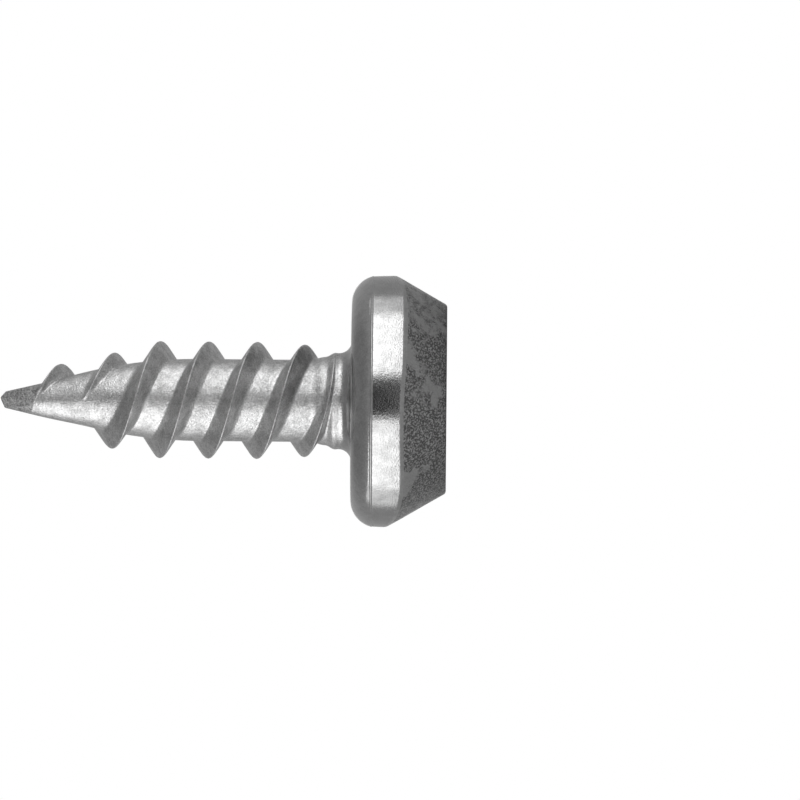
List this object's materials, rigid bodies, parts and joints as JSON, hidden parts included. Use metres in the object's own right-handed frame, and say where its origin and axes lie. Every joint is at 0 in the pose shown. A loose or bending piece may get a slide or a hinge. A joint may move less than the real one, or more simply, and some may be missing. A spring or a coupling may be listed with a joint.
{
  "type": "wafer head screw",
  "caption": "Short self-tapping framing screw with a thick conical cross-recess head, plain neck, two-start left-hand thread and slim blunt point.",
  "frame": {"origin": "centre of the head's flat end face, where the screw stands", "axes": "+Z along the screw's axis from the head to the point; +X and +Y across two wings of the cross recess"},
  "size_m": [0.0076, 0.0076, 0.0133],
  "materials": {
    "zinc_plated_steel": "bright zinc plating with a fine pitted grain"
  },
  "bodies": {
    "root": {"screw": "zinc_plated_steel"}
  },
  "joints": []
}
